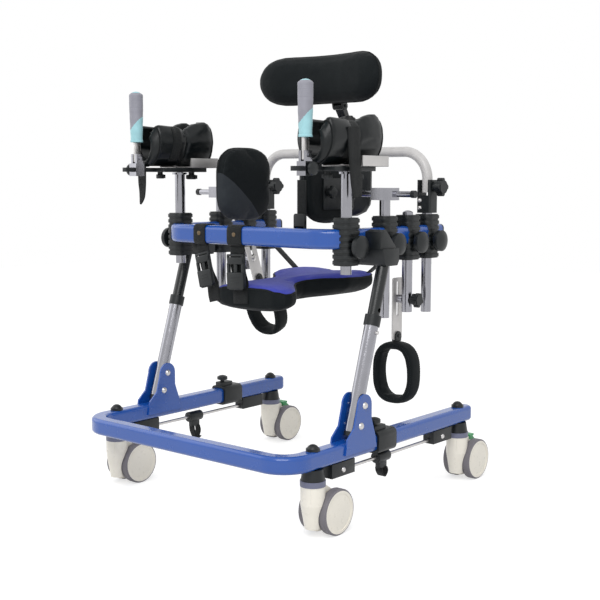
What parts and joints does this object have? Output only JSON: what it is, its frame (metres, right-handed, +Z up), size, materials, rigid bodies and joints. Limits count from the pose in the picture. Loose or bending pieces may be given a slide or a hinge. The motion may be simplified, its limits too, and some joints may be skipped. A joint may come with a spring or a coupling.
{
  "type": "gait trainer",
  "caption": "Wheeled walking-support frame with forearm rests, trunk pads, thigh cuffs, saddle seat, back pad and headrest, all adjustable on posts",
  "frame": {"origin": "middle of the footprint, on the floor under the wheels", "axes": "+Z up, -Y is the front that the user faces, +X is the user's left; l and r in node names are as seen from the front, so r is +X"},
  "size_m": [0.699, 0.775, 1.058],
  "materials": {
    "blue_paint": "gloss powder coat",
    "black_paint": "satin black",
    "chrome_plate": "bright plated tube",
    "bright_steel": "plain steel",
    "silver_tube": "satin silver",
    "black_plastic": "moulded, fine grain",
    "ivory_plastic": "smooth moulded",
    "grip_rubber": "soft grip",
    "green_plastic": "moulded",
    "seat_cover": "coated cloth over foam",
    "black_cover": "woven cloth over foam",
    "black_webbing": "woven webbing"
  },
  "bodies": {
    "base": {"base_frame": "blue_paint", "frame_caps": "black_plastic", "caster_sockets": "black_plastic", "upright_tubes": "chrome_plate", "bracket_bolts": "bright_steel", "stride_rods": "chrome_plate", "rod_boxes": "black_plastic"},
    "frame": {"upper_frame": "blue_paint", "inner_tubes": "black_paint", "upright_heads": "black_plastic", "rail_clamps": "black_plastic", "seat": "seat_cover", "seat_straps": "black_webbing"},
    "back": {"back_posts": "chrome_plate"},
    "back_rest": {"back_bar": "silver_tube", "back_pad": "black_cover"},
    "head": {"head_stem": "black_paint"},
    "headrest": {"headrest": "black_cover"},
    "caster_fl": {"caster_housing_fl": "ivory_plastic"},
    "wheels_fl": {"caster_wheels_fl": "ivory_plastic"},
    "caster_fr": {"caster_housing_fr": "ivory_plastic"},
    "wheels_fr": {"caster_wheels_fr": "ivory_plastic"},
    "caster_rl": {"caster_housing_rl": "ivory_plastic"},
    "wheels_rl": {"caster_wheels_rl": "ivory_plastic"},
    "caster_rr": {"caster_housing_rr": "ivory_plastic"},
    "wheels_rr": {"caster_wheels_rr": "ivory_plastic"},
    "pedal_l": {"brake_pedal_l": "green_plastic"},
    "sleeve_l": {"leg_sleeve_l": "black_plastic"},
    "ankle_l": {"ankle_slider_l": "black_plastic"},
    "button_l": {"height_button_l": "bright_steel"},
    "forearm_l": {"forearm_post_l": "chrome_plate"},
    "tray_l": {"forearm_tray_l": "black_plastic", "forearm_pad_l": "black_cover"},
    "grip_stem_l": {"grip_stem_l": "chrome_plate"},
    "grip_l": {"hand_grip_l": "grip_rubber"},
    "trunk_l": {"trunk_post_l": "chrome_plate"},
    "trunk_rod_l": {"trunk_rod_l": "chrome_plate"},
    "trunk_pad_l": {"trunk_pad_l": "black_cover"},
    "cuff_l": {"cuff_post_l": "chrome_plate"},
    "cuff_bolt_l": {"cuff_bolt_l": "black_plastic"},
    "cuff_plate_l": {"cuff_plate_l": "silver_tube"},
    "cuff_loop_l": {"cuff_loop_l": "black_cover"},
    "back_knob_l": {"back_knob_l": "black_plastic"},
    "pedal_r": {"brake_pedal_r": "green_plastic"},
    "sleeve_r": {"leg_sleeve_r": "black_plastic"},
    "ankle_r": {"ankle_slider_r": "black_plastic"},
    "button_r": {"height_button_r": "bright_steel"},
    "forearm_r": {"forearm_post_r": "chrome_plate"},
    "tray_r": {"forearm_tray_r": "black_plastic", "forearm_pad_r": "black_cover"},
    "grip_stem_r": {"grip_stem_r": "chrome_plate"},
    "grip_r": {"hand_grip_r": "grip_rubber"},
    "trunk_r": {"trunk_post_r": "chrome_plate"},
    "trunk_rod_r": {"trunk_rod_r": "chrome_plate"},
    "trunk_pad_r": {"trunk_pad_r": "black_cover"},
    "cuff_r": {"cuff_post_r": "chrome_plate"},
    "cuff_bolt_r": {"cuff_bolt_r": "black_plastic"},
    "cuff_plate_r": {"cuff_plate_r": "silver_tube"},
    "cuff_loop_r": {"cuff_loop_r": "black_cover"},
    "back_knob_r": {"back_knob_r": "black_plastic"}
  },
  "joints": [
    {"name": "swivel_fl", "type": "hinge", "parent": "base", "child": "caster_fl", "pos_m": [-0.311, -0.2855, 0.112], "axis": [0, 0, 1], "continuous": true},
    {"name": "roll_fl", "type": "hinge", "parent": "caster_fl", "child": "wheels_fl", "pos_m": [-0.311, -0.2405, 0.05], "axis": [1, 0, 0], "continuous": true},
    {"name": "swivel_fr", "type": "hinge", "parent": "base", "child": "caster_fr", "pos_m": [0.311, -0.2855, 0.112], "axis": [0, 0, 1], "continuous": true},
    {"name": "roll_fr", "type": "hinge", "parent": "caster_fr", "child": "wheels_fr", "pos_m": [0.311, -0.2405, 0.05], "axis": [1, 0, 0], "continuous": true},
    {"name": "swivel_rl", "type": "hinge", "parent": "base", "child": "caster_rl", "pos_m": [-0.311, 0.2825, 0.112], "axis": [0, 0, 1], "continuous": true},
    {"name": "roll_rl", "type": "hinge", "parent": "caster_rl", "child": "wheels_rl", "pos_m": [-0.311, 0.3275, 0.05], "axis": [1, 0, 0], "continuous": true},
    {"name": "swivel_rr", "type": "hinge", "parent": "base", "child": "caster_rr", "pos_m": [0.311, 0.2825, 0.112], "axis": [0, 0, 1], "continuous": true},
    {"name": "roll_rr", "type": "hinge", "parent": "caster_rr", "child": "wheels_rr", "pos_m": [0.311, 0.3275, 0.05], "axis": [1, 0, 0], "continuous": true},
    {"name": "brake_l", "type": "hinge", "parent": "caster_rl", "child": "pedal_l", "pos_m": [-0.311, 0.3515, 0.076], "axis": [1, 0, 0], "range_deg": [-8, 8]},
    {"name": "sleeve_slide_l", "type": "slide", "parent": "base", "child": "sleeve_l", "axis": [0, 1, 0], "range_m": [-0.155, 0.01]},
    {"name": "ankle_slide_l", "type": "slide", "parent": "base", "child": "ankle_l", "axis": [0, 1, 0], "range_m": [-0.11, 0.145]},
    {"name": "button_press_l", "type": "slide", "parent": "base", "child": "button_l", "axis": [1, 0, 0], "range_m": [0, 0.003], "stiffness_N_per_m": 400},
    {"name": "forearm_height_l", "type": "slide", "parent": "frame", "child": "forearm_l", "axis": [0, 0, 1], "range_m": [-0.02, 0.06]},
    {"name": "forearm_turn_l", "type": "hinge", "parent": "forearm_l", "child": "tray_l", "pos_m": [-0.261, -0.11029, 0.768], "axis": [0, 0, 1], "range_deg": [-5, 20]},
    {"name": "grip_reach_l", "type": "slide", "parent": "tray_l", "child": "grip_stem_l", "axis": [0, -1, 0], "range_m": [-0.005, 0.025]},
    {"name": "grip_tilt_l", "type": "hinge", "parent": "grip_stem_l", "child": "grip_l", "pos_m": [-0.261, -0.25029, 0.798], "axis": [1, 0, 0], "range_deg": [-3, 25]},
    {"name": "trunk_height_l", "type": "slide", "parent": "frame", "child": "trunk_l", "axis": [0, 0, 1], "range_m": [-0.02, 0.03]},
    {"name": "trunk_width_l", "type": "slide", "parent": "trunk_l", "child": "trunk_rod_l", "axis": [1, 0, 0], "range_m": [-0.008, 0.03]},
    {"name": "trunk_turn_l", "type": "hinge", "parent": "trunk_rod_l", "child": "trunk_pad_l", "pos_m": [-0.163, 0.03471, 0.715], "axis": [0, 0, 1], "range_deg": [-12, 12]},
    {"name": "cuff_height_l", "type": "slide", "parent": "frame", "child": "cuff_l", "axis": [0, 0, 1], "range_m": [-0.09, 0]},
    {"name": "cuff_angle_l", "type": "hinge", "parent": "cuff_l", "child": "cuff_bolt_l", "pos_m": [-0.261, 0.12771, 0.539], "axis": [1, 0, 0], "range_deg": [-20, 0]},
    {"name": "cuff_length_l", "type": "slide", "parent": "cuff_bolt_l", "child": "cuff_plate_l", "axis": [0, -0.342, 0.9397], "range_m": [-0.07, 0.002]},
    {"name": "cuff_swing_l", "type": "hinge", "parent": "cuff_plate_l", "child": "cuff_loop_l", "pos_m": [-0.23495, 0.14686, 0.48638], "axis": [1, 0, 0], "range_deg": [-20, 0]},
    {"name": "back_knob_turn_l", "type": "hinge", "parent": "back", "child": "back_knob_l", "pos_m": [-0.231, 0.20971, 0.73], "axis": [1, 0, 0], "continuous": true},
    {"name": "brake_r", "type": "hinge", "parent": "caster_rr", "child": "pedal_r", "pos_m": [0.311, 0.3515, 0.076], "axis": [1, 0, 0], "range_deg": [-8, 8]},
    {"name": "sleeve_slide_r", "type": "slide", "parent": "base", "child": "sleeve_r", "axis": [0, 1, 0], "range_m": [-0.004, 0.11]},
    {"name": "ankle_slide_r", "type": "slide", "parent": "base", "child": "ankle_r", "axis": [0, 1, 0], "range_m": [-0.09, 0.165]},
    {"name": "button_press_r", "type": "slide", "parent": "base", "child": "button_r", "axis": [-1, 0, 0], "range_m": [0, 0.003], "stiffness_N_per_m": 400},
    {"name": "forearm_height_r", "type": "slide", "parent": "frame", "child": "forearm_r", "axis": [0, 0, 1], "range_m": [-0.02, 0.06]},
    {"name": "forearm_turn_r", "type": "hinge", "parent": "forearm_r", "child": "tray_r", "pos_m": [0.261, -0.11029, 0.768], "axis": [0, 0, 1], "range_deg": [-20, 5]},
    {"name": "grip_reach_r", "type": "slide", "parent": "tray_r", "child": "grip_stem_r", "axis": [0, -1, 0], "range_m": [-0.005, 0.025]},
    {"name": "grip_tilt_r", "type": "hinge", "parent": "grip_stem_r", "child": "grip_r", "pos_m": [0.261, -0.25029, 0.798], "axis": [1, 0, 0], "range_deg": [-3, 25]},
    {"name": "trunk_height_r", "type": "slide", "parent": "frame", "child": "trunk_r", "axis": [0, 0, 1], "range_m": [-0.02, 0.03]},
    {"name": "trunk_width_r", "type": "slide", "parent": "trunk_r", "child": "trunk_rod_r", "axis": [-1, 0, 0], "range_m": [-0.008, 0.03]},
    {"name": "trunk_turn_r", "type": "hinge", "parent": "trunk_rod_r", "child": "trunk_pad_r", "pos_m": [0.163, 0.03471, 0.715], "axis": [0, 0, 1], "range_deg": [-12, 12]},
    {"name": "cuff_height_r", "type": "slide", "parent": "frame", "child": "cuff_r", "axis": [0, 0, 1], "range_m": [-0.03, 0.07]},
    {"name": "cuff_angle_r", "type": "hinge", "parent": "cuff_r", "child": "cuff_bolt_r", "pos_m": [0.261, 0.12771, 0.465], "axis": [1, 0, 0], "range_deg": [-40, 30]},
    {"name": "cuff_length_r", "type": "slide", "parent": "cuff_bolt_r", "child": "cuff_plate_r", "axis": [0, 0, 1], "range_m": [-0.036, 0.036]},
    {"name": "cuff_swing_r", "type": "hinge", "parent": "cuff_plate_r", "child": "cuff_loop_r", "pos_m": [0.23495, 0.12771, 0.375], "axis": [1, 0, 0], "range_deg": [-20, 20]},
    {"name": "back_knob_turn_r", "type": "hinge", "parent": "back", "child": "back_knob_r", "pos_m": [0.291, 0.20971, 0.73], "axis": [1, 0, 0], "continuous": true},
    {"name": "frame_height", "type": "slide", "parent": "base", "child": "frame", "axis": [0, 0.3007, 0.9537], "range_m": [-0.05, 0.075]},
    {"name": "back_height", "type": "slide", "parent": "frame", "child": "back", "axis": [0, 0, 1], "range_m": [0, 0.06]},
    {"name": "back_tilt", "type": "hinge", "parent": "back", "child": "back_rest", "pos_m": [0, 0.20971, 0.73], "axis": [-1, 0, 0], "range_deg": [-5, 20]},
    {"name": "head_height", "type": "slide", "parent": "back_rest", "child": "head", "axis": [0, 0, 1], "range_m": [-0.03, 0.06]},
    {"name": "head_tilt", "type": "hinge", "parent": "head", "child": "headrest", "pos_m": [0, 0.20171, 0.933], "axis": [1, 0, 0], "range_deg": [-15, 15]}
  ]
}
